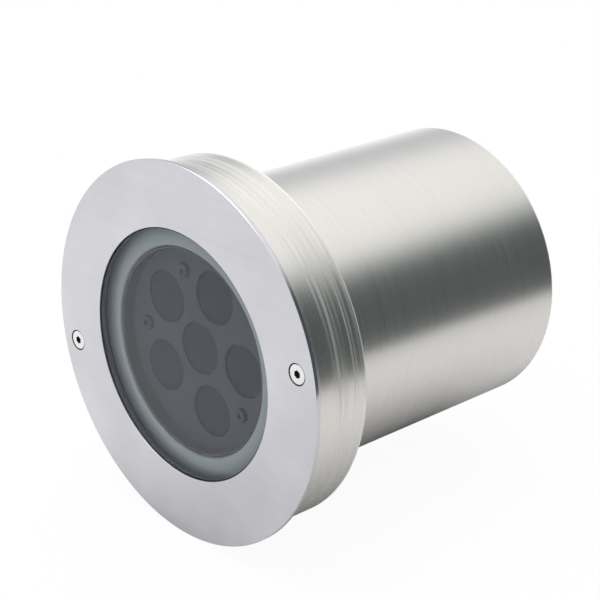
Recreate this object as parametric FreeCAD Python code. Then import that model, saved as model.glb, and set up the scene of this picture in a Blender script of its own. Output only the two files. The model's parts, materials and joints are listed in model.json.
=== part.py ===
import FreeCAD, Part
import math
import os

from FreeCAD import Vector

# An in ground well light, lying on its side as it comes out of its box. Millimetres and degrees.
#
# The axis of the light is the Y axis. Its face looks along -Y, and +Z is up. The origin is on the
# axis, in the plane where the face ring rests on the mounting sleeve, just below the level of the
# finished ground. Depths count along +Y from that plane, into the ground.
# Angles count round the axis from +X towards +Z.

# ---------------------------------------------------------------- driving dimensions

# Lenses: one in the middle and a ring of them round it
LENS_R = 10.5
LENS_RING_COUNT = 5
LENS_FIRST_ANGLE = -3.0
LENS_SINK = 0.8             # below the front of the lens plate
LENS_RIM = 1.7
LENS_HEIGHT = 11.5
LENS_WAIST_INSET = 2.7
LENS_FOOT_R = 4.6
LENS_WELL_R = 2.6
LENS_WELL_DEPTH = 5.0
LENS_GAP = 0.25             # round a lens in its aperture

# Lens holders
HOLDER_RIM = 1.9            # outside the lens
HOLDER_WALL = 1.2
HOLDER_GAP = 0.4
HOLDER_FOOT = 1.2
HOLDER_SPACING = 1.6        # between neighbouring holders

# Lens plate: a black tray
PLATE_DROP = 6.0            # from the back of the glass to the front of the plate
PLATE_THICKNESS = 2.0
PLATE_EDGE = 3.8            # from a holder out to the wall of the tray
TRAY_WALL = 1.2
TRAY_CLEARANCE = 0.3
TRAY_SINK = 0.6             # from the seat down to the front of the tray's wall

# Emitters, their board and the pad behind it
EMITTER_SIDE = 3.5
EMITTER_BASE = 0.8
DOME_R = 1.5
DOME_HEIGHT = 1.4
BOARD_GAP = 1.5             # from the foot of a lens to the board
BOARD_THICKNESS = 1.6
BOARD_CLEARANCE = 0.6
PAD_THICKNESS = 0.5
PAD_INSET = 1.0

# Posts of the lens plate
POST_OUTSET = 6.3           # outside the circle of the lenses
POST_GAPS = (1, 2, 4)       # which gaps between the outer lenses hold a screw
POST_FLATS = 5.5
POST_STUD_R = 1.5
POST_STUD_LENGTH = 4.5

# Small screws, M3 with a pan head
SMALL_SHANK_R = 1.5
SMALL_HEAD_R = 2.8
SMALL_HEAD = 1.7
SMALL_HEAD_CHAMFER = 0.7
SMALL_HOLE_GAP = 0.05
SMALL_SLOT_WIDTH = 0.6
SMALL_SLOT_SPAN = 3.0
SMALL_SLOT_DEPTH = 0.9
PLATE_SCREW_LENGTH = 6.0
DRIVER_SCREW_LENGTH = 6.0
COVER_SCREW_LENGTH = 10.0

# Face screws: M4 countersunk, hexagon socket
SCREW_LINE_ANGLE = 12.2
SCREW_SHANK_R = 2.0
SCREW_HEAD_R = 4.0
SCREW_HEAD_RIM = 0.3
SCREW_HEAD_SINK = 0.2
SCREW_CONE_GAP = 0.05
SCREW_LENGTH = 12.0
SCREW_TIP_CHAMFER = 0.4
SCREW_SOCKET_FLATS = 3.0
SCREW_SOCKET_DEPTH = 1.3
SCREW_CLEARANCE = 0.05      # running clearance of a shank in its thread or washer
SCREW_HOLE_GAP = 0.25       # round a shank in the face ring
WASHER_R = 3.5
WASHER_THICKNESS = 0.8
WASHER_GAP = 0.1

# Front glass: stepped, its face just below the face of the ring
GLASS_THICKNESS = 8.0
GLASS_SINK = 0.7
GLASS_CHAMFER = 0.5
GLASS_FLANGE_WIDTH = 4.4
GLASS_SIDE_GAP = 0.3
WINDOW_SEAL = 0.45
WINDOW_SEAL_SINK = 0.3
CLAMP_SEAL = 1.0
SEAL_GAP = 0.02
GASKET_WIDTH = 2.6
GASKET_DEPTH = 1.8
GASKET_INSET = 1.2

# Face ring
RING_LAND = 0.5             # metal left under a countersink
RING_EDGE_CHAMFER = 0.5
RING_OVERHANG = 3.6         # beyond the collar
RIM_RELIEF = 1.0            # the rim is turned thinner where it lies on the ground
RIM_GAP = 0.1
WINDOW_EDGE_CHAMFER = 0.2
CLAMP_STEP = 2.0            # the part of the ring that reaches behind its underside
RING_HOLE_SKIN = 1.4        # metal left in front of the blind holes
RING_SCREW_COUNT = 6
RING_SCREW_ANGLE = 42.2
RING_SCREW_TIP_GAP = 0.3

# Lamp housing: one casting with a seat, an optic bore, a rear chamber and cooling fins
SEAT_WIDTH = 8.6            # from the optic bore to the opening of the ring
SEAT_CHAMFER = 0.5
SEAT_FLOOR = 2.5            # metal behind the gasket's groove
SCREW_LAND_INSIDE = 4.2     # from the glass pocket to the ring's screws
SCREW_LAND_OUTSIDE = 4.3    # from the ring's screws to the edge of the flange
FLANGE_CHAMFER = 1.0
HOUSING_WALL = 6.9
CHAMBER_WALL = 5.5
FIN_COUNT = 24
FIN_HEIGHT = 7.0
FIN_SINK = 1.0              # of a fin's root in the body
FIN_ROOT_THICKNESS = 2.4
FIN_TIP_THICKNESS = 1.5
FIN_FRONT_SLOPE = 4.0
FLOOR_THICKNESS = 6.0
CHAMBER_DEPTH = 42.4
REAR_RING_DEPTH = 7.0

# Driver and its leads
DRIVER_BACK_GAP = 3.0
DRIVER_CLEARANCE = 0.5
DRIVER_CHAMFER = 1.5
DRIVER_EAR_THICKNESS = 2.0
DRIVER_WELL_GAP = 0.8
DRIVER_SCREW_INSET = 9.5
DRIVER_SCREW_ANGLE = 60.0
LEAD_R = 0.7
LEAD_SPACING = 2.2
LEAD_HOLE_GAP = 1.2
LEAD_PITCH_R = 14.0
LEAD_GAP = 3                # the gap between lenses whose direction the leads take

# Rear cover and its gasket
REAR_GASKET = 1.0
COVER_THICKNESS = 5.0
COVER_CHAMFER = 1.2
COVER_SCREW_COUNT = 6
COVER_SCREW_ANGLE = 30.0

# Cable, and the gland and grommet that it passes
CABLE_R = 4.0
GLAND_SEAL_WALL = 2.0
GLAND_SEAL_CLEARANCE = 0.05
GLAND_TOP_WALL = 1.55
GLAND_THREAD_STEP = 0.4
GLAND_HEX_LAND = 2.0
GLAND_HEX = 5.0
GLAND_TOP = 8.0
GLAND_TOP_CLEARANCE = 0.1
GLAND_NUT = 13.0
GLAND_NUT_HEX = 8.0
GLAND_NUT_GAP = 0.6
GLAND_LIP = 2.0
GLAND_DOME_INSET = 0.4
GLAND_DOME_CHAMFER = 2.0
ORING = 1.0
ORING_WIDTH = 1.4
GROMMET_WALL = 4.0
GROMMET_LIP = 3.0
GROMMET_FLANGE = 2.4
GROMMET_CLEARANCE = 0.05
GROMMET_CHAMFER = 0.8
CABLE_SPACE = 44.7          # for the spare cable, between the lamp's gland and the grommet

# Mounting sleeve
LUG_GAP = 0.6               # between the flange of the lamp and a lug
LUG_LAND_INSIDE = 4.1       # from the edge of a lug to its thread
LUG_LAND_OUTSIDE = 3.8      # from the thread to the wall of the collar
LUG_WIDTH = 11.0
LUG_THICKNESS = 8.0
COLLAR_WALL = 2.0
COLLAR_DEPTH = 26.4
COLLAR_SHOULDER = 2.0
COLLAR_EDGE_CHAMFER = 0.4
TUBE_WALL = 1.5
TUBE_GAP = 2.0              # round the lamp in the tube
TUBE_END_CHAMFER = 0.7
BASE_THICKNESS = 2.0
BASE_RECESS = 3.0
BASE_CLEARANCE = 0.05

# ---------------------------------------------------------------- places worked out from them

# Radii, from the lenses outwards
HOLDER_R = LENS_R + HOLDER_RIM
APERTURE_R = LENS_R + LENS_GAP
LENS_SPREAD_R = 2 * HOLDER_R + HOLDER_SPACING
POST_PITCH_R = LENS_SPREAD_R + POST_OUTSET
TRAY_R = LENS_SPREAD_R + HOLDER_R + PLATE_EDGE + TRAY_WALL
OPTIC_BORE_R = TRAY_R + TRAY_CLEARANCE
BOARD_R = OPTIC_BORE_R - BOARD_CLEARANCE
WINDOW_R = OPTIC_BORE_R + SEAT_WIDTH
GLASS_BOSS_R = WINDOW_R - WINDOW_SEAL
GLASS_R = WINDOW_R + GLASS_FLANGE_WIDTH
POCKET_R = GLASS_R + GLASS_SIDE_GAP
GROOVE_OUTER_R = GLASS_R - GASKET_INSET
GROOVE_INNER_R = GROOVE_OUTER_R - GASKET_WIDTH
RING_SCREW_PITCH_R = POCKET_R + SCREW_LAND_INSIDE
LAMP_FLANGE_R = RING_SCREW_PITCH_R + SCREW_LAND_OUTSIDE
LUG_BORE_R = LAMP_FLANGE_R + LUG_GAP
SCREW_PITCH_R = LUG_BORE_R + LUG_LAND_INSIDE
COLLAR_BORE_R = SCREW_PITCH_R + LUG_LAND_OUTSIDE
COLLAR_R = COLLAR_BORE_R + COLLAR_WALL
RING_R = COLLAR_R + RING_OVERHANG
BODY_R = OPTIC_BORE_R + HOUSING_WALL
CHAMBER_R = BODY_R - CHAMBER_WALL
FIN_TIP_R = BODY_R + FIN_HEIGHT
COVER_SCREW_PITCH_R = (CHAMBER_R + FIN_TIP_R) / 2
DRIVER_SCREW_PITCH_R = CHAMBER_R - DRIVER_SCREW_INSET
TUBE_BORE_R = FIN_TIP_R + TUBE_GAP
TUBE_R = TUBE_BORE_R + TUBE_WALL
SMALL_HOLE_R = SMALL_SHANK_R + SMALL_HOLE_GAP
STUD_HOLE_R = POST_STUD_R + SMALL_HOLE_GAP
DRIVER_WELL_R = SMALL_HEAD_R + DRIVER_WELL_GAP
LEAD_HOLE_R = LEAD_SPACING / 2 + LEAD_R + LEAD_HOLE_GAP
SCREW_SINK_R = SCREW_HEAD_R + SCREW_HEAD_RIM + SCREW_HEAD_SINK + SCREW_CONE_GAP
RING_SCREW_HOLE_R = SCREW_SHANK_R + SCREW_HOLE_GAP
GLAND_SEAL_R = CABLE_R + GLAND_SEAL_WALL
GLAND_TOP_R = GLAND_SEAL_R + GLAND_SEAL_CLEARANCE + GLAND_TOP_WALL
GLAND_THREAD_R = GLAND_TOP_R + GLAND_THREAD_STEP
GLAND_FLATS = 2 * (GLAND_THREAD_R + GLAND_HEX_LAND)
GROMMET_NECK_R = CABLE_R + GROMMET_WALL
GROMMET_FLANGE_R = GROMMET_NECK_R + GROMMET_LIP

# Depths, from the face inwards
RING_THICKNESS = SCREW_HEAD_SINK + SCREW_HEAD_RIM + SCREW_HEAD_R - SCREW_SHANK_R + RING_LAND
FACE_Y = -RING_THICKNESS
SCREW_HEAD_Y = FACE_Y + SCREW_HEAD_SINK
SCREW_TIP_Y = SCREW_HEAD_Y + SCREW_LENGTH
LUG_Y = WASHER_THICKNESS + 2 * WASHER_GAP
GLASS_FRONT_Y = FACE_Y + GLASS_SINK
GLASS_STEP_Y = CLAMP_STEP + CLAMP_SEAL
SEAT_Y = GLASS_FRONT_Y + GLASS_THICKNESS
GROOVE_BACK_Y = SEAT_Y + GASKET_DEPTH
FLANGE_BACK_Y = GROOVE_BACK_Y + SEAT_FLOOR
PLATE_Y = SEAT_Y + PLATE_DROP
PLATE_BACK_Y = PLATE_Y + PLATE_THICKNESS
LENS_Y = PLATE_Y + LENS_SINK
LENS_BACK_Y = LENS_Y + LENS_HEIGHT
LENS_WAIST_Y = (LENS_Y + LENS_RIM + LENS_BACK_Y) / 2
BOARD_Y = LENS_BACK_Y + BOARD_GAP
BOARD_BACK_Y = BOARD_Y + BOARD_THICKNESS
FLOOR_Y = BOARD_BACK_Y + PAD_THICKNESS
CHAMBER_Y = FLOOR_Y + FLOOR_THICKNESS
DRIVER_DEPTH = CHAMBER_DEPTH - DRIVER_BACK_GAP
HOUSING_BACK_Y = CHAMBER_Y + CHAMBER_DEPTH
REAR_RING_Y = HOUSING_BACK_Y - REAR_RING_DEPTH
COVER_Y = HOUSING_BACK_Y + REAR_GASKET
COVER_BACK_Y = COVER_Y + COVER_THICKNESS
GLAND_HEX_Y = COVER_BACK_Y + ORING
GLAND_TOP_Y = GLAND_HEX_Y + GLAND_HEX
GLAND_TOP_BACK_Y = GLAND_TOP_Y + GLAND_TOP
GLAND_NUT_Y = GLAND_TOP_Y + GLAND_NUT_GAP
GLAND_NUT_BACK_Y = GLAND_NUT_Y + GLAND_NUT
SHOULDER_Y = COLLAR_DEPTH - COLLAR_SHOULDER
BASE_FRONT_Y = GLAND_NUT_BACK_Y + CABLE_SPACE + GROMMET_FLANGE
BASE_BACK_Y = BASE_FRONT_Y + BASE_THICKNESS
SLEEVE_BACK_Y = BASE_BACK_Y + BASE_RECESS

LENS_STEP_ANGLE = 360.0 / LENS_RING_COUNT


def gap_angle(index):
    """The direction halfway between two neighbouring outer lenses."""
    return LENS_FIRST_ANGLE + LENS_STEP_ANGLE * (index + 0.5)


# ---------------------------------------------------------------- helpers

AXIS = Vector(0, 1, 0)


def turned(corners):
    """Revolve an outline about the axis. Each corner is (radius, depth)."""
    points = [Vector(radius, depth, 0) for radius, depth in corners]
    return Part.Face(Part.makePolygon(points + points[:1])).revolve(Vector(0, 0, 0), AXIS, 360)


def rod(radius, front, back, x=0.0, z=0.0):
    """A round bar along the axis direction, from depth front to depth back."""
    return Part.makeCylinder(radius, back - front, Vector(x, front, z), AXIS)


def block(width, front, back, height, x=0.0, z=0.0):
    """A box centred on (x, z), from depth front to depth back."""
    corner = Vector(x - width / 2, front, z - height / 2)
    return Part.makeBox(width, back - front, height, corner)


def hexagon(flats, front, back):
    """A hexagonal bar on the axis, measured across its flats."""
    reach = flats / math.sqrt(3)
    points = [Vector(reach * math.cos(math.radians(a)), front, reach * math.sin(math.radians(a)))
              for a in range(0, 361, 60)]
    return Part.Face(Part.makePolygon(points)).extrude(AXIS * (back - front))


def set_out(shape, radius, angle):
    """A copy of a shape made on the axis, moved out by a radius and round to an angle."""
    copy = shape.copy()
    copy.translate(Vector(radius, 0, 0))
    copy.rotate(Vector(0, 0, 0), -AXIS, angle)
    return copy


def ring_of(shape, radius, first_angle, count):
    """Copies of a shape, evenly spaced on a circle."""
    return [set_out(shape, radius, first_angle + 360.0 / count * index) for index in range(count)]


def gland_hex(flats, front, back):
    """A hexagon with its corners turned off at both ends, as on a nut."""
    corner_r = flats / math.sqrt(3)
    relief = (corner_r - flats / 2) / 2
    envelope = turned([(0, front), (corner_r - relief, front), (corner_r, front + relief),
                       (corner_r, back - relief), (corner_r - relief, back), (0, back)])
    return hexagon(flats, front, back).common(envelope)


def small_screw(head_y, length, forward):
    """An M3 pan-head screw on the axis. Its shank points to -Y where forward is true."""
    bar = turned([(0, -SMALL_HEAD), (SMALL_HEAD_R - SMALL_HEAD_CHAMFER, -SMALL_HEAD),
                  (SMALL_HEAD_R, SMALL_HEAD_CHAMFER - SMALL_HEAD), (SMALL_HEAD_R, 0),
                  (SMALL_SHANK_R, 0), (SMALL_SHANK_R, length), (0, length)])
    slot_back = SMALL_SLOT_DEPTH - SMALL_HEAD
    cross = block(SMALL_SLOT_SPAN, -SMALL_HEAD, slot_back, SMALL_SLOT_WIDTH).fuse(
        block(SMALL_SLOT_WIDTH, -SMALL_HEAD, slot_back, SMALL_SLOT_SPAN))
    screw = bar.cut(cross)
    if forward:
        screw.rotate(Vector(0, 0, 0), Vector(1, 0, 0), 180)
    screw.translate(Vector(0, head_y, 0))
    return screw


# ---------------------------------------------------------------- mounting sleeve


def sleeve_tube():
    """The long tube, welded to the shoulder of the collar and open towards the face."""
    return turned([(TUBE_BORE_R, COLLAR_DEPTH), (TUBE_R, COLLAR_DEPTH),
                   (TUBE_R, SLEEVE_BACK_Y - TUBE_END_CHAMFER), (TUBE_R - TUBE_END_CHAMFER, SLEEVE_BACK_Y),
                   (TUBE_BORE_R, SLEEVE_BACK_Y)])


def sleeve_collar():
    """The wide turned collar: its front edge carries the face ring, its shoulder the tube."""
    return turned([(COLLAR_BORE_R, 0), (COLLAR_R, 0), (COLLAR_R, COLLAR_DEPTH - COLLAR_EDGE_CHAMFER),
                   (COLLAR_R - COLLAR_EDGE_CHAMFER, COLLAR_DEPTH), (TUBE_BORE_R, COLLAR_DEPTH),
                   (TUBE_BORE_R, SHOULDER_Y), (COLLAR_BORE_R, SHOULDER_Y)])


def sleeve_base():
    """The disc welded into the end of the tube, with the hole for the grommet."""
    disc_r = TUBE_BORE_R - BASE_CLEARANCE
    hole_r = GROMMET_NECK_R + GROMMET_CLEARANCE
    return turned([(hole_r, BASE_FRONT_Y), (disc_r, BASE_FRONT_Y),
                   (disc_r, BASE_BACK_Y), (hole_r, BASE_BACK_Y)])


def cable_grommet():
    """A rubber grommet that grips both faces of the base."""
    front = BASE_FRONT_Y - GROMMET_FLANGE
    back = BASE_BACK_Y + GROMMET_FLANGE
    return turned([(CABLE_R, front), (GROMMET_FLANGE_R - GROMMET_CHAMFER, front),
                   (GROMMET_FLANGE_R, front + GROMMET_CHAMFER), (GROMMET_FLANGE_R, BASE_FRONT_Y),
                   (GROMMET_NECK_R, BASE_FRONT_Y), (GROMMET_NECK_R, BASE_BACK_Y),
                   (GROMMET_FLANGE_R, BASE_BACK_Y), (GROMMET_FLANGE_R, back - GROMMET_CHAMFER),
                   (GROMMET_FLANGE_R - GROMMET_CHAMFER, back), (CABLE_R, back)])


def screw_lug(angle):
    """A block inside the collar, with the thread for one face screw."""
    arc = turned([(LUG_BORE_R, LUG_Y), (COLLAR_BORE_R, LUG_Y),
                  (COLLAR_BORE_R, LUG_Y + LUG_THICKNESS), (LUG_BORE_R, LUG_Y + LUG_THICKNESS)])
    middle_r = (LUG_BORE_R + COLLAR_BORE_R) / 2
    lug = arc.common(block(2 * LUG_WIDTH, LUG_Y, LUG_Y + LUG_THICKNESS, LUG_WIDTH, x=middle_r))
    thread = rod(SCREW_SHANK_R + SCREW_CLEARANCE, LUG_Y, LUG_Y + LUG_THICKNESS, x=SCREW_PITCH_R)
    return set_out(lug.cut(thread), 0, angle)


# ---------------------------------------------------------------- face ring and window


def face_ring():
    """The flat ring that shows, with a step behind it that clamps the glass."""
    edge_r = RING_R - RING_EDGE_CHAMFER
    lip = WINDOW_R + WINDOW_EDGE_CHAMFER
    ring = turned([(WINDOW_R, FACE_Y + WINDOW_EDGE_CHAMFER), (lip, FACE_Y), (edge_r, FACE_Y),
                   (RING_R, FACE_Y + RING_EDGE_CHAMFER), (RING_R, -RIM_RELIEF - RING_EDGE_CHAMFER),
                   (edge_r, -RIM_RELIEF), (COLLAR_R + RIM_GAP, -RIM_RELIEF), (COLLAR_R + RIM_GAP, 0),
                   (LAMP_FLANGE_R, 0), (LAMP_FLANGE_R, CLAMP_STEP), (WINDOW_R, CLAMP_STEP)])
    sink_back = FACE_Y + SCREW_SINK_R - RING_SCREW_HOLE_R
    sink = turned([(0, FACE_Y), (SCREW_SINK_R, FACE_Y), (RING_SCREW_HOLE_R, sink_back),
                   (RING_SCREW_HOLE_R, 0), (0, 0)])
    blind = rod(SMALL_HOLE_R, FACE_Y + RING_HOLE_SKIN, CLAMP_STEP)
    holes = ring_of(sink, SCREW_PITCH_R, SCREW_LINE_ANGLE, 2)
    holes += ring_of(blind, RING_SCREW_PITCH_R, RING_SCREW_ANGLE, RING_SCREW_COUNT)
    return ring.cut(holes)


def front_glass():
    """Toughened glass with a step, so that the ring holds it and its face lies almost flush."""
    return turned([(0, GLASS_FRONT_Y), (GLASS_BOSS_R - GLASS_CHAMFER, GLASS_FRONT_Y),
                   (GLASS_BOSS_R, GLASS_FRONT_Y + GLASS_CHAMFER), (GLASS_BOSS_R, GLASS_STEP_Y),
                   (GLASS_R, GLASS_STEP_Y), (GLASS_R, SEAT_Y), (0, SEAT_Y)])


def window_seal():
    """The thin seal that fills the gap between the glass and the ring."""
    front = GLASS_FRONT_Y + GLASS_CHAMFER + WINDOW_SEAL_SINK
    return turned([(GLASS_BOSS_R + SEAL_GAP, front), (WINDOW_R - SEAL_GAP, front),
                   (WINDOW_R - SEAL_GAP, CLAMP_STEP), (GLASS_BOSS_R + SEAL_GAP, CLAMP_STEP)])


def clamp_seal():
    """The flat seal between the step of the ring and the step of the glass."""
    return turned([(GLASS_BOSS_R + SEAL_GAP, CLAMP_STEP), (GLASS_R, CLAMP_STEP),
                   (GLASS_R, GLASS_STEP_Y), (GLASS_BOSS_R + SEAL_GAP, GLASS_STEP_Y)])


def glass_gasket():
    """The gasket in the groove of the seat, under the edge of the glass."""
    return turned([(GROOVE_INNER_R, SEAT_Y), (GROOVE_OUTER_R, SEAT_Y),
                   (GROOVE_OUTER_R, GROOVE_BACK_Y), (GROOVE_INNER_R, GROOVE_BACK_Y)])


# ---------------------------------------------------------------- lamp housing


def housing_fin():
    """One tapered cooling fin, from the flange to the rear ring, its front end sloped."""
    root = BODY_R - FIN_SINK
    front = FLANGE_BACK_Y
    back = REAR_RING_Y
    profile = [Vector(root, front, -FIN_ROOT_THICKNESS / 2), Vector(root, front, FIN_ROOT_THICKNESS / 2),
               Vector(FIN_TIP_R, front, FIN_TIP_THICKNESS / 2),
               Vector(FIN_TIP_R, front, -FIN_TIP_THICKNESS / 2)]
    fin = Part.Face(Part.makePolygon(profile + profile[:1])).extrude(AXIS * (back - front))
    slope = [Vector(BODY_R, front, 0), Vector(FIN_TIP_R, front, 0),
             Vector(FIN_TIP_R, front + FIN_FRONT_SLOPE, 0)]
    notch = Part.Face(Part.makePolygon(slope + slope[:1])).extrude(Vector(0, 0, 2 * FIN_ROOT_THICKNESS))
    notch.translate(Vector(0, 0, -FIN_ROOT_THICKNESS))
    return fin.cut(notch)


def lamp_housing():
    """The casting that seats the glass, carries the optics and sheds the heat."""
    body = turned([
        (POCKET_R, CLAMP_STEP), (LAMP_FLANGE_R, CLAMP_STEP),
        (LAMP_FLANGE_R, FLANGE_BACK_Y - FLANGE_CHAMFER), (LAMP_FLANGE_R - FLANGE_CHAMFER, FLANGE_BACK_Y),
        (BODY_R, FLANGE_BACK_Y),
        (BODY_R, REAR_RING_Y), (FIN_TIP_R, REAR_RING_Y), (FIN_TIP_R, HOUSING_BACK_Y),
        (CHAMBER_R, HOUSING_BACK_Y), (CHAMBER_R, CHAMBER_Y), (0, CHAMBER_Y),
        (0, FLOOR_Y), (OPTIC_BORE_R, FLOOR_Y), (OPTIC_BORE_R, SEAT_Y + SEAT_CHAMFER),
        (OPTIC_BORE_R + SEAT_CHAMFER, SEAT_Y), (GROOVE_INNER_R, SEAT_Y),
        (GROOVE_INNER_R, GROOVE_BACK_Y), (GROOVE_OUTER_R, GROOVE_BACK_Y), (GROOVE_OUTER_R, SEAT_Y),
        (POCKET_R, SEAT_Y)])
    fins = ring_of(housing_fin(), 0, 0, FIN_COUNT)
    through = rod(SMALL_HOLE_R, CLAMP_STEP, FLANGE_BACK_Y)
    stud = rod(STUD_HOLE_R, FLOOR_Y, FLOOR_Y + POST_STUD_LENGTH)
    lead_hole = rod(LEAD_HOLE_R, FLOOR_Y, CHAMBER_Y)
    driver_tap = rod(SMALL_HOLE_R, CHAMBER_Y - driver_grip(), CHAMBER_Y)
    cover_tap = rod(SMALL_HOLE_R, HOUSING_BACK_Y - cover_grip(), HOUSING_BACK_Y)
    holes = ring_of(through, RING_SCREW_PITCH_R, RING_SCREW_ANGLE, RING_SCREW_COUNT)
    holes += [set_out(stud, POST_PITCH_R, gap_angle(gap)) for gap in POST_GAPS]
    holes.append(set_out(lead_hole, LEAD_PITCH_R, gap_angle(LEAD_GAP)))
    holes += ring_of(driver_tap, DRIVER_SCREW_PITCH_R, DRIVER_SCREW_ANGLE, 2)
    holes += ring_of(cover_tap, COVER_SCREW_PITCH_R, COVER_SCREW_ANGLE, COVER_SCREW_COUNT)
    return body.fuse(fins).cut(holes)


def driver_grip():
    """How far a driver screw reaches into the floor of the rear chamber."""
    return DRIVER_SCREW_LENGTH - DRIVER_EAR_THICKNESS


def cover_grip():
    """How far a cover screw reaches into the rear ring of the housing."""
    return COVER_SCREW_LENGTH - COVER_THICKNESS - REAR_GASKET


def rear_gasket():
    """The flat gasket between the housing and its rear cover."""
    ring = turned([(CHAMBER_R, HOUSING_BACK_Y), (FIN_TIP_R, HOUSING_BACK_Y),
                   (FIN_TIP_R, COVER_Y), (CHAMBER_R, COVER_Y)])
    hole = rod(SMALL_HOLE_R, HOUSING_BACK_Y, COVER_Y)
    return ring.cut(ring_of(hole, COVER_SCREW_PITCH_R, COVER_SCREW_ANGLE, COVER_SCREW_COUNT))


def rear_cover():
    """The turned disc that closes the rear chamber, tapped in the middle for the gland."""
    bore = GLAND_THREAD_R + SMALL_HOLE_GAP
    disc = turned([(bore, COVER_Y), (FIN_TIP_R, COVER_Y), (FIN_TIP_R, COVER_BACK_Y - COVER_CHAMFER),
                   (FIN_TIP_R - COVER_CHAMFER, COVER_BACK_Y), (bore, COVER_BACK_Y)])
    hole = rod(SMALL_HOLE_R, COVER_Y, COVER_BACK_Y)
    return disc.cut(ring_of(hole, COVER_SCREW_PITCH_R, COVER_SCREW_ANGLE, COVER_SCREW_COUNT))


# ---------------------------------------------------------------- optics


def lens_places():
    """The radius and angle of each lens: one in the middle and the rest round it."""
    places = {"centre": (0.0, 0.0)}
    for index in range(LENS_RING_COUNT):
        places[str(index + 1)] = (LENS_SPREAD_R, LENS_FIRST_ANGLE + LENS_STEP_ANGLE * index)
    return places


def lens_plate():
    """The black tray in front of the lenses: a plate with apertures and a wall round it."""
    inner = TRAY_R - TRAY_WALL
    tray = turned([(0, PLATE_Y), (inner, PLATE_Y), (inner, SEAT_Y + TRAY_SINK),
                   (TRAY_R, SEAT_Y + TRAY_SINK), (TRAY_R, PLATE_BACK_Y), (0, PLATE_BACK_Y)])
    aperture = rod(APERTURE_R, PLATE_Y, PLATE_BACK_Y)
    screw_hole = rod(SMALL_HOLE_R, PLATE_Y, PLATE_BACK_Y)
    holes = [set_out(aperture, *place) for place in lens_places().values()]
    holes += [set_out(screw_hole, POST_PITCH_R, gap_angle(gap)) for gap in POST_GAPS]
    return tray.cut(holes)


def lens():
    """A collimator: a rim, a flat front, tapered flanks and a well over the emitter."""
    rim_back = LENS_Y + LENS_RIM
    well_y = LENS_BACK_Y - LENS_WELL_DEPTH
    return turned([(0, LENS_Y), (LENS_R, LENS_Y), (LENS_R, rim_back),
                   (LENS_R - HOLDER_WALL, rim_back), (LENS_R - LENS_WAIST_INSET, LENS_WAIST_Y),
                   (LENS_FOOT_R, LENS_BACK_Y), (LENS_WELL_R, LENS_BACK_Y),
                   (LENS_WELL_R, well_y), (0, well_y)])


def lens_holder():
    """The black cup that carries one lens by its rim and keeps it off the board."""
    top = LENS_Y + LENS_RIM
    inner = HOLDER_R - HOLDER_WALL
    seat = LENS_R - HOLDER_WALL + HOLDER_GAP
    shelf = top + HOLDER_WALL
    return turned([(seat, top), (HOLDER_R, top), (HOLDER_R, BOARD_Y),
                   (LENS_FOOT_R + HOLDER_GAP, BOARD_Y),
                   (LENS_FOOT_R + HOLDER_GAP, BOARD_Y - HOLDER_FOOT), (inner, BOARD_Y - HOLDER_FOOT),
                   (inner, shelf), (seat, shelf)])


def emitter():
    """A light emitter: a square base on the board with a round dome on it."""
    base_y = BOARD_Y - EMITTER_BASE
    base = block(EMITTER_SIDE, base_y, BOARD_Y, EMITTER_SIDE)
    dome = turned([(0, base_y - DOME_HEIGHT), (DOME_R / 2, base_y - DOME_HEIGHT),
                   (DOME_R, base_y - DOME_HEIGHT / 2), (DOME_R, base_y), (0, base_y)])
    return base.fuse(dome)


def board_disc(front, back, radius):
    """A disc behind the lenses, with the holes for the studs of the posts."""
    stud = rod(STUD_HOLE_R, front, back)
    return rod(radius, front, back).cut([set_out(stud, POST_PITCH_R, gap_angle(gap)) for gap in POST_GAPS])


def thermal_pad():
    """The pad between the board and the floor, with a hole for the leads."""
    lead_hole = set_out(rod(LEAD_HOLE_R, BOARD_BACK_Y, FLOOR_Y), LEAD_PITCH_R, gap_angle(LEAD_GAP))
    return board_disc(BOARD_BACK_Y, FLOOR_Y, BOARD_R - PAD_INSET).cut(lead_hole)


def plate_post():
    """A hexagonal post with a stud: it clamps the board and carries the lens plate."""
    post = hexagon(POST_FLATS, PLATE_BACK_Y, BOARD_Y)
    stud = rod(POST_STUD_R, BOARD_Y, FLOOR_Y + POST_STUD_LENGTH)
    tap = rod(SMALL_HOLE_R, PLATE_BACK_Y, PLATE_Y + PLATE_SCREW_LENGTH)
    return post.fuse(stud).cut(tap)


# ---------------------------------------------------------------- driver


def driver():
    """The round potted supply that fills the rear chamber, with two wells for its screws."""
    back = CHAMBER_Y + DRIVER_DEPTH
    radius = CHAMBER_R - DRIVER_CLEARANCE
    puck = turned([(0, CHAMBER_Y), (radius, CHAMBER_Y), (radius, back - DRIVER_CHAMFER),
                   (radius - DRIVER_CHAMFER, back), (0, back)])
    well_floor = CHAMBER_Y + DRIVER_EAR_THICKNESS
    well = rod(DRIVER_WELL_R, well_floor, back).fuse(rod(SMALL_HOLE_R, CHAMBER_Y, well_floor))
    return puck.cut(ring_of(well, DRIVER_SCREW_PITCH_R, DRIVER_SCREW_ANGLE, 2))


def driver_lead():
    """A lead from the back of the board through the floor into the driver."""
    return rod(LEAD_R, BOARD_BACK_Y, CHAMBER_Y)


# ---------------------------------------------------------------- cable gland of the lamp


def gland_body():
    """The lower part of the gland: a thread in the cover, a hexagon and a thread for the nut."""
    inside_y = COVER_Y
    outside = rod(GLAND_THREAD_R, inside_y, GLAND_HEX_Y).fuse([
        gland_hex(GLAND_FLATS, GLAND_HEX_Y, GLAND_TOP_Y),
        rod(GLAND_TOP_R, GLAND_TOP_Y, GLAND_TOP_BACK_Y)])
    seat = rod(GLAND_SEAL_R + GLAND_SEAL_CLEARANCE, GLAND_TOP_Y, GLAND_TOP_BACK_Y)
    return outside.cut([rod(CABLE_R, inside_y, GLAND_TOP_BACK_Y), seat])


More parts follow.
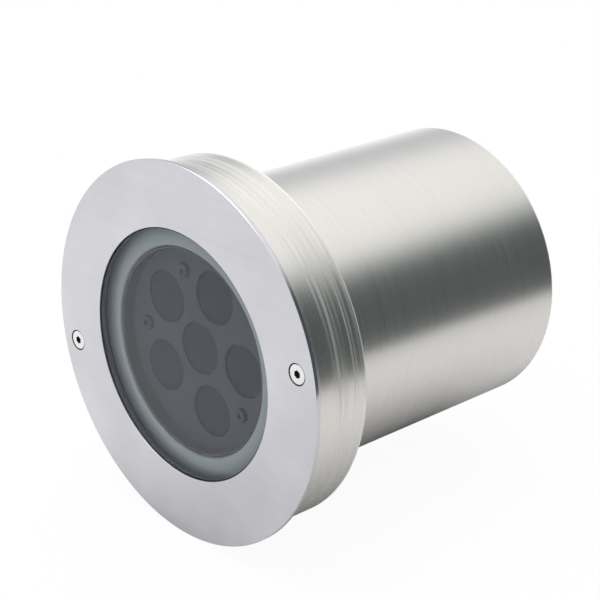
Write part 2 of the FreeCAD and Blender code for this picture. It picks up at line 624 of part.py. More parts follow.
def gland_oring():
    """The ring under the gland's hexagon."""
    inner = GLAND_THREAD_R + SEAL_GAP
    return turned([(inner, COVER_BACK_Y), (inner + ORING_WIDTH, COVER_BACK_Y),
                   (inner + ORING_WIDTH, GLAND_HEX_Y), (inner, GLAND_HEX_Y)])


def gland_seal():
    """The rubber sleeve that the nut squeezes onto the cable."""
    return turned([(CABLE_R, GLAND_TOP_Y), (GLAND_SEAL_R, GLAND_TOP_Y),
                   (GLAND_SEAL_R, GLAND_NUT_BACK_Y - GLAND_LIP), (CABLE_R, GLAND_NUT_BACK_Y - GLAND_LIP)])


def gland_nut():
    """The domed nut of the gland: a hexagon at its foot and a lip over the seal."""
    hex_back = GLAND_NUT_Y + GLAND_NUT_HEX
    dome_r = GLAND_FLATS / 2 - GLAND_DOME_INSET
    dome = turned([(0, hex_back), (dome_r, hex_back), (dome_r, GLAND_NUT_BACK_Y - GLAND_DOME_CHAMFER),
                   (dome_r - GLAND_DOME_CHAMFER, GLAND_NUT_BACK_Y), (0, GLAND_NUT_BACK_Y)])
    bore = rod(GLAND_TOP_R + GLAND_TOP_CLEARANCE, GLAND_NUT_Y, GLAND_TOP_BACK_Y)
    seal_bore = rod(GLAND_SEAL_R + GLAND_SEAL_CLEARANCE, GLAND_NUT_Y, GLAND_NUT_BACK_Y - GLAND_LIP)
    cable = rod(CABLE_R, GLAND_NUT_Y, GLAND_NUT_BACK_Y)
    return gland_hex(GLAND_FLATS, GLAND_NUT_Y, hex_back).fuse(dome).cut([bore, seal_bore, cable])


# ---------------------------------------------------------------- face screws


def face_screw():
    """A countersunk screw with a hexagon socket, made on the axis."""
    cone_back = SCREW_HEAD_Y + SCREW_HEAD_RIM + SCREW_HEAD_R - SCREW_SHANK_R
    bar = turned([(0, SCREW_HEAD_Y), (SCREW_HEAD_R, SCREW_HEAD_Y),
                  (SCREW_HEAD_R, SCREW_HEAD_Y + SCREW_HEAD_RIM), (SCREW_SHANK_R, cone_back),
                  (SCREW_SHANK_R, SCREW_TIP_Y - SCREW_TIP_CHAMFER),
                  (SCREW_SHANK_R - SCREW_TIP_CHAMFER, SCREW_TIP_Y), (0, SCREW_TIP_Y)])
    return bar.cut(hexagon(SCREW_SOCKET_FLATS, SCREW_HEAD_Y, SCREW_HEAD_Y + SCREW_SOCKET_DEPTH))


def captive_washer():
    """The washer behind the ring that keeps a loosened screw with the lamp."""
    front = WASHER_GAP
    back = front + WASHER_THICKNESS
    bore = SCREW_SHANK_R + SCREW_CLEARANCE
    return turned([(bore, front), (WASHER_R, front), (WASHER_R, back), (bore, back)])


# ---------------------------------------------------------------- the assembly


def ring_screws():
    """The six screws that hold the ring on the housing. They point towards the face."""
    length = FLANGE_BACK_Y - FACE_Y - RING_HOLE_SKIN - RING_SCREW_TIP_GAP
    screw = small_screw(FLANGE_BACK_Y, length, True)
    return Part.makeCompound(ring_of(screw, RING_SCREW_PITCH_R, RING_SCREW_ANGLE, RING_SCREW_COUNT))


def assembly():
    """Every piece of the light under the name of its node."""
    sides = {"right": SCREW_LINE_ANGLE, "left": SCREW_LINE_ANGLE + 180}
    plate_screw = small_screw(PLATE_Y, PLATE_SCREW_LENGTH, False)
    driver_screw = small_screw(CHAMBER_Y + DRIVER_EAR_THICKNESS, DRIVER_SCREW_LENGTH, True)
    cover_screw = small_screw(COVER_BACK_Y, COVER_SCREW_LENGTH, True)
    gaps = [gap_angle(gap) for gap in POST_GAPS]
    pieces = {
        "sleeve_tube": sleeve_tube(),
        "sleeve_collar": sleeve_collar(),
        "sleeve_base": sleeve_base(),
        "cable_grommet": cable_grommet(),
        "face_ring": face_ring(),
        "front_glass": front_glass(),
        "window_seal": window_seal(),
        "clamp_seal": clamp_seal(),
        "glass_gasket": glass_gasket(),
        "lamp_housing": lamp_housing(),
        "ring_screws": ring_screws(),
        "lens_plate": lens_plate(),
        "plate_screws": Part.makeCompound([set_out(plate_screw, POST_PITCH_R, a) for a in gaps]),
        "plate_posts": Part.makeCompound([set_out(plate_post(), POST_PITCH_R, a) for a in gaps]),
        "emitter_board": board_disc(BOARD_Y, BOARD_BACK_Y, BOARD_R),
        "thermal_pad": thermal_pad(),
        "driver": driver(),
        "driver_screws": Part.makeCompound(ring_of(
            driver_screw, DRIVER_SCREW_PITCH_R, DRIVER_SCREW_ANGLE, 2)),
        "driver_leads": Part.makeCompound([
            set_out(driver_lead(), LEAD_PITCH_R + side * LEAD_SPACING / 2, gap_angle(LEAD_GAP))
            for side in (-1, 1)]),
        "rear_gasket": rear_gasket(),
        "rear_cover": rear_cover(),
        "cover_screws": Part.makeCompound(ring_of(
            cover_screw, COVER_SCREW_PITCH_R, COVER_SCREW_ANGLE, COVER_SCREW_COUNT)),
        "gland_body": gland_body(),
        "gland_oring": gland_oring(),
        "gland_seal": gland_seal(),
        "gland_nut": gland_nut(),
    }
    for side, angle in sides.items():
        pieces["screw_lug_" + side] = screw_lug(angle)
        pieces["face_screw_" + side] = set_out(face_screw(), SCREW_PITCH_R, angle)
        pieces["captive_washer_" + side] = set_out(captive_washer(), SCREW_PITCH_R, angle)
    for name, place in lens_places().items():
        pieces["lens_" + name] = set_out(lens(), *place)
        pieces["lens_holder_" + name] = set_out(lens_holder(), *place)
        pieces["emitter_" + name] = set_out(emitter(), *place)
    return pieces


def main():
    os.makedirs("parts", exist_ok=True)
    for name, shape in assembly().items():
        if not shape.isValid() or not shape.Solids:
            raise ValueError(name + " is not a sound solid")
        shape.exportStep(os.path.join("parts", name + ".step"))
        box = shape.BoundBox
        print(f"{name:22s} solids {len(shape.Solids)}  volume {shape.Volume:10.1f}"
              f"  depth {box.YMin:7.2f} to {box.YMax:7.2f}  reach {box.XMax:6.2f}")


main()
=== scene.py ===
# %% [markdown]
# An in ground well light, lying on its side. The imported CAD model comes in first, as a frame that
# never moves: every piece made here sits where the CAD says, in metres, with the axis of the light
# along Y, its face towards -Y and Z up.

# %% Load the frame
import json
import math

import bmesh
import bpy
from mathutils import Matrix, Vector


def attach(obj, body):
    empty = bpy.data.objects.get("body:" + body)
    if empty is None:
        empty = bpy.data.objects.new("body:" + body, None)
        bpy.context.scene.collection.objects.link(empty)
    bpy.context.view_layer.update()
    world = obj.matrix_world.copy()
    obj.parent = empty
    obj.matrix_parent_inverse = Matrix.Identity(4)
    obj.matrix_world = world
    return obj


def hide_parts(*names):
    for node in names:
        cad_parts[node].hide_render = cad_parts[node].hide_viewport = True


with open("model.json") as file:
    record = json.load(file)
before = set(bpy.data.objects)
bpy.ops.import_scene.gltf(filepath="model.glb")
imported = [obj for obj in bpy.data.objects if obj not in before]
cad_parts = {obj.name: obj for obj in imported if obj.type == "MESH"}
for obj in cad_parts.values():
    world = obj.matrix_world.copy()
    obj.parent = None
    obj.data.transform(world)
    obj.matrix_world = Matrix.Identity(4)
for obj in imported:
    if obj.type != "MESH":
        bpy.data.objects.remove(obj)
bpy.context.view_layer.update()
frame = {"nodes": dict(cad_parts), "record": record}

MM = 0.001
scene = bpy.context.scene
scene.view_settings.view_transform = "Standard"

# %% [markdown]
# The camera. The photograph looks at the face from its right and a little above. A long lens keeps
# the two ends of the tube nearly the same size, as they are in the picture.

# %% Camera
CAMERA_AZIMUTH = 47.21
CAMERA_ELEVATION = 22.07
CAMERA_PLACE = (0.50328, -0.40336, 0.28410)
LENS_LENGTH, SENSOR_WIDTH = 105.63, 36.0       # mm

camera = bpy.data.objects.new("camera", bpy.data.cameras.new("camera"))
scene.collection.objects.link(camera)
camera.data.lens = LENS_LENGTH
camera.data.sensor_width = SENSOR_WIDTH
camera.location = CAMERA_PLACE
camera.rotation_euler = (math.radians(90 - CAMERA_ELEVATION), 0, math.radians(CAMERA_AZIMUTH))
scene.camera = camera
print("camera at", CAMERA_PLACE)

# %% [markdown]
# Shader maths reads best as plain sums. A Wire is one value on its way through a node tree: sums
# with it add Math nodes, and its node method adds any other node.

# %% Wires


class Wire:
    """A socket in a node tree that can be calculated with."""

    def __init__(self, tree, socket=None):
        self.tree = tree
        self.socket = socket

    def feed(self, socket, value):
        """Links a Wire to a socket, or sets the socket to a plain value."""
        if isinstance(value, Wire):
            self.tree.links.new(value.socket, socket)
        elif isinstance(value, tuple) and len(value) == 3 and socket.type == "RGBA":
            socket.default_value = (*value, 1)
        else:
            socket.default_value = value

    def node(self, kind, settings=None, inputs=None, output=0):
        """Adds a node: its settings first, then what its sockets take."""
        made = self.tree.nodes.new(kind)
        for key, value in (settings or {}).items():
            setattr(made, key, value)
        for key, value in (inputs or {}).items():
            self.feed(made.inputs[key], value)
        return Wire(self.tree, made.outputs[output]) if made.outputs else None

    def math(self, operation, *values):
        return self.node("ShaderNodeMath", {"operation": operation}, dict(enumerate(values)))

    def __add__(self, other):
        return self.math("ADD", self, other)

    def __sub__(self, other):
        return self.math("SUBTRACT", self, other)

    def __rsub__(self, other):
        return self.math("SUBTRACT", other, self)

    def __mul__(self, other):
        return self.math("MULTIPLY", self, other)

    __radd__ = __add__
    __rmul__ = __mul__


def ramp(wire, low, high):
    """0 below low, 1 above high, and smooth between them."""
    return wire.node("ShaderNodeMapRange", {"interpolation_type": "SMOOTHSTEP"},
                     {0: wire, 1: low, 2: high, 3: 0.0, 4: 1.0})


def mix(factor, one, other):
    """A colour from one to other as factor goes from 0 to 1."""
    return factor.node("ShaderNodeMix", {"data_type": "RGBA"}, {0: factor, 6: one, 7: other}, 2)


def part_of(wire, axis):
    """One part of a vector: 0 for x, 1 for y, 2 for z."""
    return wire.node("ShaderNodeSeparateXYZ", inputs={0: wire}, output=axis)


def share_along(wire, direction):
    """How far a vector goes in a direction."""
    return wire.node("ShaderNodeVectorMath", {"operation": "DOT_PRODUCT"},
                     {0: wire, 1: direction}, "Value")


print("wires ready")

# %% [markdown]
# The studio. The photograph has a pure white ground. The metal shows what stood round it: a white
# sheet below, a large soft light overhead, and a dark gap low on the right, which gives the tube
# its dark band. The world holds these for the rays that light and reflect, and is white for the
# camera.

# %% World
GAP_DIRECTION = (0.757, 0.654, 0.0)
DIM_DIRECTION = (-0.71, 0.70, 0.0)
LEVEL, OVERHEAD_GLOW, LOW_LEFT_GLOW = 1.02, 0.28, 0.25
GAP_DEPTH, DIM_DEPTH, LOW_DEPTH = 0.885, 0.30, 0.85
world = bpy.data.worlds.new("studio")
scene.world = world
world.use_nodes = True
world.node_tree.nodes.clear()
sky = Wire(world.node_tree)
toward = sky.node("ShaderNodeTexCoord", output="Generated")
height = part_of(toward, 2)
along = part_of(toward, 1)
sideways = share_along(toward, GAP_DIRECTION)
leftward = share_along(toward, DIM_DIRECTION)
taper = ramp(along, 0.64, 0.74)
above_foot = ramp(height + 0.06 - taper * 0.17, -0.60, -0.35)
below_head = 1 - ramp(height - 0.08 + taper * 0.15, 0.40, 0.66)
gap = ramp(sideways, 0.30, 0.72) * (above_foot * below_head)
dim = ramp(leftward, 0.40, 0.80) * ramp(height, 0.04, 0.20) * (1 - ramp(height, 0.40, 0.62))
low_left = ramp(leftward, 0.40, 0.80) * (1 - ramp(height, -0.05, 0.15))
level = LEVEL + ramp(height, 0.42, 0.70) * OVERHEAD_GLOW
level = level * (1 - gap * GAP_DEPTH) * (1 - dim * DIM_DEPTH) + low_left * LOW_LEFT_GLOW
seen = sky.node("ShaderNodeLightPath", output="Is Camera Ray")
spread = sky.node("ShaderNodeLightPath", output="Is Diffuse Ray")
level = level * (1 - spread * (1 - ramp(height, -0.05, 0.55)) * LOW_DEPTH)
tint = mix(gap, (1.0, 0.995, 0.985), (0.86, 1.0, 1.0))
tint = mix(dim * 0.8, tint, (0.93, 1.0, 1.06))
lit = sky.node("ShaderNodeBackground", inputs={"Color": tint, "Strength": level})
white = sky.node("ShaderNodeBackground", inputs={"Color": (1.0, 1.0, 1.0), "Strength": 1.0})
both = sky.node("ShaderNodeMixShader", inputs={0: seen, 1: lit, 2: white})
both.node("ShaderNodeOutputWorld", inputs={0: both})
print("world made")

# %% [markdown]
# The sheet that the light lies on. In a studio it is paper swept up behind the object. Here it is a
# stage: it keeps the shadow and is white for the camera. Where the tube would mirror the ground
# under it, the sheet is darker, because the real ground there lies in the tube's own shadow.

# %% Floor
FLOOR_Z = -80 * MM
FLOOR_R = 0.42
FLOOR_CENTRE = (-0.03, 0.03)
SHEET_GREY, SHADED_GREY = (0.74, 0.74, 0.74), (0.26, 0.27, 0.28)
WHITE_SHARE = 0.95              # of what the camera sees; the rest is the shadow
SEEN_THROUGH_SHARE = 0.3        # the same, through the glass
bm = bmesh.new()
bmesh.ops.create_circle(bm, cap_ends=True, segments=128, radius=FLOOR_R)
bmesh.ops.translate(bm, verts=bm.verts, vec=(*FLOOR_CENTRE, FLOOR_Z))
floor_mesh = bpy.data.meshes.new("floor")
bm.to_mesh(floor_mesh)
bm.free()
floor = bpy.data.objects.new("floor", floor_mesh)
scene.collection.objects.link(floor)

floor_material = bpy.data.materials.new("white_sheet")
floor_material.use_nodes = True
floor_material.node_tree.nodes.clear()
sheet = Wire(floor_material.node_tree)
shown = sheet.node("ShaderNodeLightPath", output="Is Camera Ray")
through = sheet.node("ShaderNodeLightPath", output="Is Transmission Ray")
mirrored = sheet.node("ShaderNodeLightPath", output="Is Glossy Ray")
spot = sheet.node("ShaderNodeTexCoord", output="Object")
across = part_of(spot, 0)
deep = part_of(spot, 1)
under = ramp(across, -0.13, -0.07) * (1 - ramp(across, 0.0, 0.06)) * ramp(deep, -0.02, 0.03)
pale = mix(under * mirrored, SHEET_GREY, SHADED_GREY)
plain = sheet.node("ShaderNodeBsdfDiffuse", inputs={"Color": pale})
glow = sheet.node("ShaderNodeEmission", inputs={"Color": (1.0, 1.0, 1.0), "Strength": 1.0})
share = sheet.math("MINIMUM", shown * WHITE_SHARE + through * SEEN_THROUGH_SHARE, WHITE_SHARE)
mixed = sheet.node("ShaderNodeMixShader", inputs={0: share, 1: plain, 2: glow})
mixed.node("ShaderNodeOutputMaterial", inputs={0: mixed})
floor.data.materials.append(floor_material)
print("floor made")

# %% [markdown]
# The soft light overhead. In a studio it is a lamp behind a wide cloth. A square area light, high
# up and a little to the left, gives the same soft edge to the shadow.

# %% Overhead light
LIGHT_SIDE, LIGHT_POWER = 0.9, 6.0
LIGHT_PLACE, LIGHT_AIM = Vector((-0.2, -0.1, 1.0)), Vector((0, 0.05, 0))

lamp_data = bpy.data.lights.new("overhead", "AREA")
lamp_data.shape = "RECTANGLE"
lamp_data.size = LIGHT_SIDE
lamp_data.size_y = LIGHT_SIDE
lamp_data.energy = LIGHT_POWER
overhead = bpy.data.objects.new("overhead", lamp_data)
scene.collection.objects.link(overhead)
overhead.location = LIGHT_PLACE
overhead.rotation_euler = (LIGHT_AIM - LIGHT_PLACE).to_track_quat("-Z", "Y").to_euler()
print("overhead light made")

# %% [markdown]
# Finishes. Each is a Principled shader whose colour, roughness and bump come from noise in Object
# coordinates, stretched the way the tool that made the surface moved.

# %% Finish helpers


def new_finish(name):
    """A material with a Principled shader, and a Wire to build on."""
    made = bpy.data.materials.new(name)
    made.use_nodes = True
    shader = made.node_tree.nodes["Principled BSDF"]
    return made, shader, Wire(made.node_tree)


def place(wire, scale=(1, 1, 1)):
    """Object coordinates, stretched."""
    spot = wire.node("ShaderNodeTexCoord", output="Object")
    return wire.node("ShaderNodeMapping", {"vector_type": "POINT"}, {0: spot, 3: scale})


def noise(wire, scale, detail=2.0, rough=0.5):
    """Noise from 0 to 1; scale is in periods per metre, one for each direction."""
    spot = place(wire, scale)
    return wire.node("ShaderNodeTexNoise", inputs={"Vector": spot, "Scale": 1.0, "Detail": detail,
                                                   "Roughness": rough})


def bump(wire, height, distance):
    """Height from 0 to 1 as a relief that is distance deep."""
    return wire.node("ShaderNodeBump", inputs={"Height": height, "Distance": distance,
                                               "Strength": 1.0})


def set_out(shader, wire, **values):
    """Feeds the shader: what varies is a Wire, and what is the same all over is a plain value."""
    for key, value in values.items():
        wire.feed(shader.inputs[key.replace("_", " ")], value)


print("finish helpers ready")

# %% [markdown]
# The metals. The sleeve is steel, brushed with an abrasive belt while it turns, so its lines run
# round it: noise stretched round the axis gives them, and a second, patchy noise gives the coarser
# cuts. The face ring is finished flat with a fine disc, which leaves clouds and short hairlines.

# %% Brushed and satin metals
STEEL_COLOUR = (0.66, 0.645, 0.62)
RING_COLOUR = (0.618, 0.611, 0.648)
# Painted light: the satin pieces are painted paler towards this direction, standing in for a
# brighter reflection on that side.
PAINTED_LIGHT_DIRECTION = (-0.55, 0, 0.83)     # the ring grows paler this way


def brushed(name, colour, rough, scratch, streak, depth, edge, width=1.0):
    """Steel turned against an abrasive belt: lines run round the axis, in patches, some coarse; its
    back edge is worn and has a painted highlight.
    """
    made, shader, w = new_finish(name)
    fine = noise(w, (16, 1700 / width, 16), 3)
    middle = noise(w, (7, 620 / width, 7), 2)
    patch = noise(w, (16, 26, 16), 3)
    lines = fine * 0.6 + middle * 0.4
    cuts = ramp(lines, 0.50, 0.74) * ramp(patch, 0.35, 0.65)
    streaks = ramp(noise(w, (5, 820 / width, 5), 3, 0.6), 0.47, 0.66)
    coarse = streaks * ramp(noise(w, (9, 60, 9), 1), 0.40, 0.62)
    # The band before the back edge is rougher, as real wear, and painted paler, as a painted
    # highlight.
    worn_and_highlit_edge = ramp(part_of(place(w), 1), edge - 0.9 * MM, edge - 0.5 * MM)
    shade = ramp(lines, 0.2, 0.8) * 0.8 + patch * 0.2
    dark = tuple(c * 0.93 for c in colour)
    bright = tuple(min(c * 1.3, 0.9) for c in colour)
    set_out(shader, w, Base_Color=mix(worn_and_highlit_edge, mix(shade, dark, colour), bright), Metallic=1.0,
            Roughness=rough + (lines - 0.5) * 0.06 + cuts * scratch + coarse * streak + worn_and_highlit_edge * 0.3,
            Normal=bump(w, lines, depth * MM))
    return made


tube_steel = brushed("tube_steel", STEEL_COLOUR, rough=0.28, scratch=0.05, streak=0.04,
                     depth=0.006, edge=153.7 * MM)
collar_steel = brushed("collar_steel", STEEL_COLOUR, rough=0.26, scratch=0.15, streak=0.26,
                       depth=0.012, edge=26.4 * MM, width=1.3)


def satin(name, colour, rough):
    """A face finished with a fine disc: cloudy, with short hairlines in every direction, and
    painted paler to one side as painted light.
    """
    made, shader, w = new_finish(name)
    cloud = noise(w, (30, 30, 30), 2)
    tint = noise(w, (19, 19, 19), 1)
    grain = noise(w, (3200, 3200, 3200), 2)
    hair = noise(w, (12, 12, 520), 3)
    # Painted light: the colour grows paler along the direction set above.
    painted_light_lean = ramp(share_along(place(w), PAINTED_LIGHT_DIRECTION), -75 * MM, 60 * MM)
    shade = cloud * 0.85 + grain * 0.1 + hair * 0.30 + painted_light_lean * 0.28 - 0.26
    dark = tuple(c * 0.80 for c in colour)
    light = tuple(c * 1.08 for c in colour)
    cool = (light[0] * 0.98, light[1] * 1.015, light[2])
    set_out(shader, w, Base_Color=mix(shade, dark, mix(tint, light, cool)), Metallic=1.0,
            Roughness=rough + (cloud - 0.5) * 0.12, Normal=bump(w, grain, 0.008 * MM))
    return made


ring_satin = satin("ring_satin", RING_COLOUR, 0.30)
ring_rim = satin("ring_rim", (0.58, 0.585, 0.62), 0.13)
screw_steel = satin("screw_steel", (0.78, 0.775, 0.76), 0.2)
plain_steel = satin("plain_steel", (0.62, 0.61, 0.6), 0.3)
print("metals made")

# %% [markdown]
# The dull materials. The housing is cast, and turned only where the glass is seated, so its finish
# has two parts that are told apart by where they are. The others have an even grain, as a mould or
# a powder coat leaves it, and differ only in colour, roughness and the size of the grain.

# %% Castings, plates and plastics
POCKET_BACK, POCKET_R = 10.0, 57.7
SEAT_BORE, SEAT_OUT = 44.5, 56.5


def grained(name, colour, rough, scale, depth, metallic=0.0, **more):
    """A moulded, cast or coated surface with an even fine grain."""
    made, shader, w = new_finish(name)
    grain = noise(w, (scale, scale, scale), 3)
    cloud = noise(w, (scale / 22, scale / 22, scale / 22), 3)
    dark = tuple(c * 0.8 for c in colour)
    set_out(shader, w, Base_Color=mix(cloud * 0.6 + grain * 0.4, dark, colour), Metallic=metallic,
            Roughness=rough + (grain - 0.5) * 0.14 + (cloud - 0.5) * 0.08,
            Normal=bump(w, grain, depth * MM), **more)
    return made


def casting(name):
    """Cast aluminium: a pebbly grey skin, and a lighter turned finish where the glass is seated."""
    made, shader, w = new_finish(name)
    depth = part_of(place(w), 1)
    flat = place(w, (1, 0, 1))
    radius = flat.node("ShaderNodeVectorMath", {"operation": "LENGTH"}, {0: flat}, "Value")
    before_back = 1 - ramp(depth, (POCKET_BACK - 0.1) * MM, (POCKET_BACK + 0.1) * MM)
    machined = before_back * (1 - ramp(radius, (POCKET_R - 0.1) * MM, (POCKET_R + 0.1) * MM))
    # Painted shade: the seat is painted darker towards its outer edge, where the ring and the step
    # of the glass keep light off it.
    seat_painted_light = mix(ramp(radius, SEAT_BORE * MM, SEAT_OUT * MM), (0.545, 0.525, 0.445),
               (0.16, 0.18, 0.205))
    skin = noise(w, (2200, 2200, 2200), 3)
    lines = noise(w, (900, 60, 900), 2)
    shade = mix(skin, (0.50, 0.51, 0.52), (0.60, 0.61, 0.62))
    # Painted highlight: the chamfer of the bore gets a band of its own colour, standing in for the
    # light it catches.
    chamfer_highlight = 1 - ramp(radius, (SEAT_BORE + 0.15) * MM, (SEAT_BORE + 0.25) * MM)
    seat_painted_light = mix(chamfer_highlight, seat_painted_light, (0.50, 0.47, 0.40))
    set_out(shader, w, Base_Color=mix(machined, shade, seat_painted_light), Metallic=0.9 - machined * 0.6,
            Roughness=0.42 + (skin - 0.5) * 0.15 + machined * 0.1,
            Normal=bump(w, skin * (1 - machined) + lines * machined * 0.3, 0.03 * MM))
    return made


cast_metal = casting("cast_metal")
black_coat = grained("black_coat", (0.124, 0.116, 0.111), 0.6, 3600, 0.012, Specular_IOR_Level=0.12)
black_oxide = grained("black_oxide", (0.02, 0.02, 0.022), 0.42, 3600, 0.008)
black_resin = grained("black_resin", (0.006, 0.006, 0.007), 0.6, 2600, 0.01, Specular_IOR_Level=0.2)
rubber = grained("rubber", (0.014, 0.017, 0.023), 0.62, 2600, 0.02)
nylon_black = grained("nylon_black", (0.025, 0.025, 0.027), 0.45, 2600, 0.012)
driver_resin = grained("driver_resin", (0.10, 0.10, 0.105), 0.5, 1800, 0.02)
board_paint = grained("board_paint", (0.03, 0.032, 0.03), 0.4, 2600, 0.008)
pad_grey = grained("pad_grey", (0.32, 0.34, 0.36), 0.7, 2600, 0.01)
lead_red = grained("lead_red", (0.42, 0.02, 0.015), 0.4, 2600, 0.006)
nickel = grained("nickel", (0.70, 0.66, 0.58), 0.24, 3200, 0.006, 1.0)
phosphor = grained("phosphor", (0.78, 0.62, 0.18), 0.45, 2600, 0.01)
print("castings and plastics made")

# %% [markdown]
# The glass. A pane like this is ground at its side before it is hardened, so the side is a second,
# dull finish. Through the front, the pane's own colour dims what lies behind, and a trace of haze
# lies over it. The lenses are drawn as dark discs, because each has an unlit black cup behind it.

# %% Glass and clear plastic


def clear(name, colour, index, through):
    """Clear glass: through is how much of it is free of haze."""
    made, shader, w = new_finish(name)
    set_out(shader, w, Base_Color=colour, Roughness=0.0, IOR=index, Specular_Tint=(0.0, 0.0, 0.0),
            Transmission_Weight=through)
    return made


def ground_edge(name):
    """The side of the glass, ground matt: blue grey at the front, and painted darker deeper in,
    towards where the glass is seated, as painted shade.
    """
    made, shader, w = new_finish(name)
    depth = part_of(place(w), 1)
    frost = noise(w, (900, 900, 900), 3)
    # Painted shade: darker with depth along the side, where less light reaches it.
    shade = mix(ramp(depth, -2.2 * MM, 3.0 * MM), (0.14, 0.165, 0.195), (0.05, 0.065, 0.09))
    set_out(shader, w, Base_Color=shade, Roughness=0.6 + (frost - 0.5) * 0.2,
            Specular_IOR_Level=0.2)
    return made


toughened = clear("toughened", (0.80, 0.87, 0.975), 1.45, 0.9922)
glass_edge = ground_edge("glass_edge")
# The lenses are painted near black: partly the black cup's own colour, partly painted shade
# standing in for the unlit cup.
lens_clear = grained("lens_clear", (0.054, 0.050, 0.052), 0.3, 60, 0.002,
                     Specular_IOR_Level=0.05)
shadow_black = grained("shadow_black", (0.02, 0.02, 0.022), 0.6, 2600, 0.01,
                       Specular_IOR_Level=0.1)
# Painted shade: a near black for the walls of the countersinks, the hex socket and the rim of the
# screw heads, where shade falls.
recess = grained("recess", (0.03, 0.03, 0.03), 0.5, 2600, 0.01, 0.4)
print("glass made")

# %% [markdown]
# Every CAD node that stays gets its finish through its material slots.

# %% Finishes of the CAD nodes
FINISH_OF_SLOT = {
    "brushed_sleeve": tube_steel, "satin_ring": ring_satin, "bright_screw": screw_steel,
    "clear_glass": toughened, "black_rubber": rubber, "cast_aluminium": cast_metal,
    "plain_screw": plain_steel, "black_plate": black_coat, "black_screw": black_oxide,
    "black_plastic": black_resin, "clear_lens": lens_clear, "emitter": phosphor,
    "board_white": board_paint, "grey_pad": pad_grey, "driver_case": driver_resin,
    "lead_red": lead_red, "gland_metal": nickel, "nylon": nylon_black,
}
slot_of_node = {entry["node"]: entry["material_slot"] for entry in frame["record"]["subparts"]}
for name, node in frame["nodes"].items():
    node.data.materials.clear()
    node.data.materials.append(FINISH_OF_SLOT[slot_of_node[name]])
print("slots:", sorted(set(slot_of_node.values())))

# %% [markdown]
# Turned pieces. A lathe makes most of this light, so most pieces are a profile spun about the Y
# axis. A corner of the profile may be rounded first, as every real edge is.

# %% Turning
STEPS = 256


def turned(corners, steps=STEPS):
    """A bmesh turned about Y from corners (radius, depth, rounding) in mm.

    A profile that starts on the axis ends there too; any other is closed.
    """
    bm = bmesh.new()
    points = [bm.verts.new((r * MM, y * MM, 0)) for r, y, _ in corners]
    on_axis = corners[0][0] == 0
    for a, b in zip(points, points[1:] + ([] if on_axis else points[:1])):
        bm.edges.new((a, b))
    for radius in sorted({c[2] for c in corners if c[2]}):
        group = [p for p, c in zip(points, corners) if c[2] == radius]
        bmesh.ops.bevel(bm, geom=group, offset=radius * MM, offset_type="OFFSET", segments=4,
                        profile=0.5, affect="VERTICES", material=-1)
    bmesh.ops.spin(bm, geom=bm.verts[:] + bm.edges[:], cent=(0, 0, 0), axis=(0, 1, 0),
                   dvec=(0, 0, 0), angle=2 * math.pi, steps=steps, use_merge=True,
                   use_duplicate=False)
    bmesh.ops.remove_doubles(bm, verts=bm.verts, dist=0.0001 * MM)
    bmesh.ops.recalc_face_normals(bm, faces=bm.faces)
    return bm


def prism(sides, radius, front, back):
    """A bmesh prism along Y with that many sides; radius is to its corners."""
    bm = bmesh.new()
    bmesh.ops.create_cone(bm, cap_ends=True, segments=sides, radius1=radius * MM,
                          radius2=radius * MM, depth=(back - front) * MM)
    bmesh.ops.rotate(bm, verts=bm.verts, cent=(0, 0, 0),
                     matrix=Matrix.Rotation(math.radians(90), 3, "X"))
    bmesh.ops.translate(bm, verts=bm.verts, vec=(0, (front + back) / 2 * MM, 0))
    return bm


def moved(bm, radius, angle):
    """The same bmesh, moved out from the axis of the light."""
    a = math.radians(angle)
    bmesh.ops.translate(bm, verts=bm.verts,
                        vec=(radius * MM * math.cos(a), 0, radius * MM * math.sin(a)))
    return bm


def as_object(name, bms):
    """One object from one or more bmeshes, which are freed."""
    mesh = bpy.data.meshes.new(name)
    joined = bmesh.new()
    for bm in bms:
        bm.to_mesh(mesh)
        joined.from_mesh(mesh)
        bm.free()
    joined.to_mesh(mesh)
    joined.free()
    made = bpy.data.objects.new(name, mesh)
    scene.collection.objects.link(made)
    return made


def cut(made, cutters):
    """Takes the cutters out of the object, and leaves a plain mesh."""
    tool = as_object(made.name + "_tool", cutters)
    step = made.modifiers.new("cut", "BOOLEAN")
    step.operation = "DIFFERENCE"
    step.solver = "EXACT"
    step.object = tool
    settle(made)
    bpy.data.objects.remove(tool)
    return made


def settle(made):
    """Applies the modifiers."""
    bpy.context.view_layer.update()
    depsgraph = bpy.context.evaluated_depsgraph_get()
    whole = bpy.data.meshes.new_from_object(made.evaluated_get(depsgraph))
    old = made.data
    made.modifiers.clear()
    made.data = whole
    bpy.data.meshes.remove(old)


def repaint(made, finish, chosen):
    """A second finish, for the faces that chosen(radius, depth, normal) picks, in mm."""
    made.data.materials.append(finish)
    for face in made.data.polygons:
        x, y, z = face.center / MM
        if chosen(math.hypot(x, z), y, face.normal):
            face.material_index = len(made.data.materials) - 1


def fitted(made, body, node, finish, sharp=32):
    """Shades the piece, gives it its finish, and puts it on its body in place of its CAD node."""
    made.data.shade_smooth()
    made.data.set_sharp_from_angle(angle=math.radians(sharp))
    weigh = made.modifiers.new("weigh", "WEIGHTED_NORMAL")
    weigh.keep_sharp = True
    weigh.weight = 100
    settle(made)
    if made.data.materials:
        made.data.materials[0] = finish
    else:
        made.data.materials.append(finish)
    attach(made, body)
    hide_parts(node)
    print(made.name, len(made.data.polygons), "faces")
    return made


# %% [markdown]
# The sleeve: a tube and a wide collar, both thin steel, with edges broken just enough to be safe to
# hold.

# %% Sleeve
TUBE_BORE, TUBE_OUT = 60.0, 61.5
COLLAR_BORE, COLLAR_OUT = 74.4, 76.4
COLLAR_DEPTH = 26.4
SHOULDER_Y = 24.4
SLEEVE_BACK = 153.7

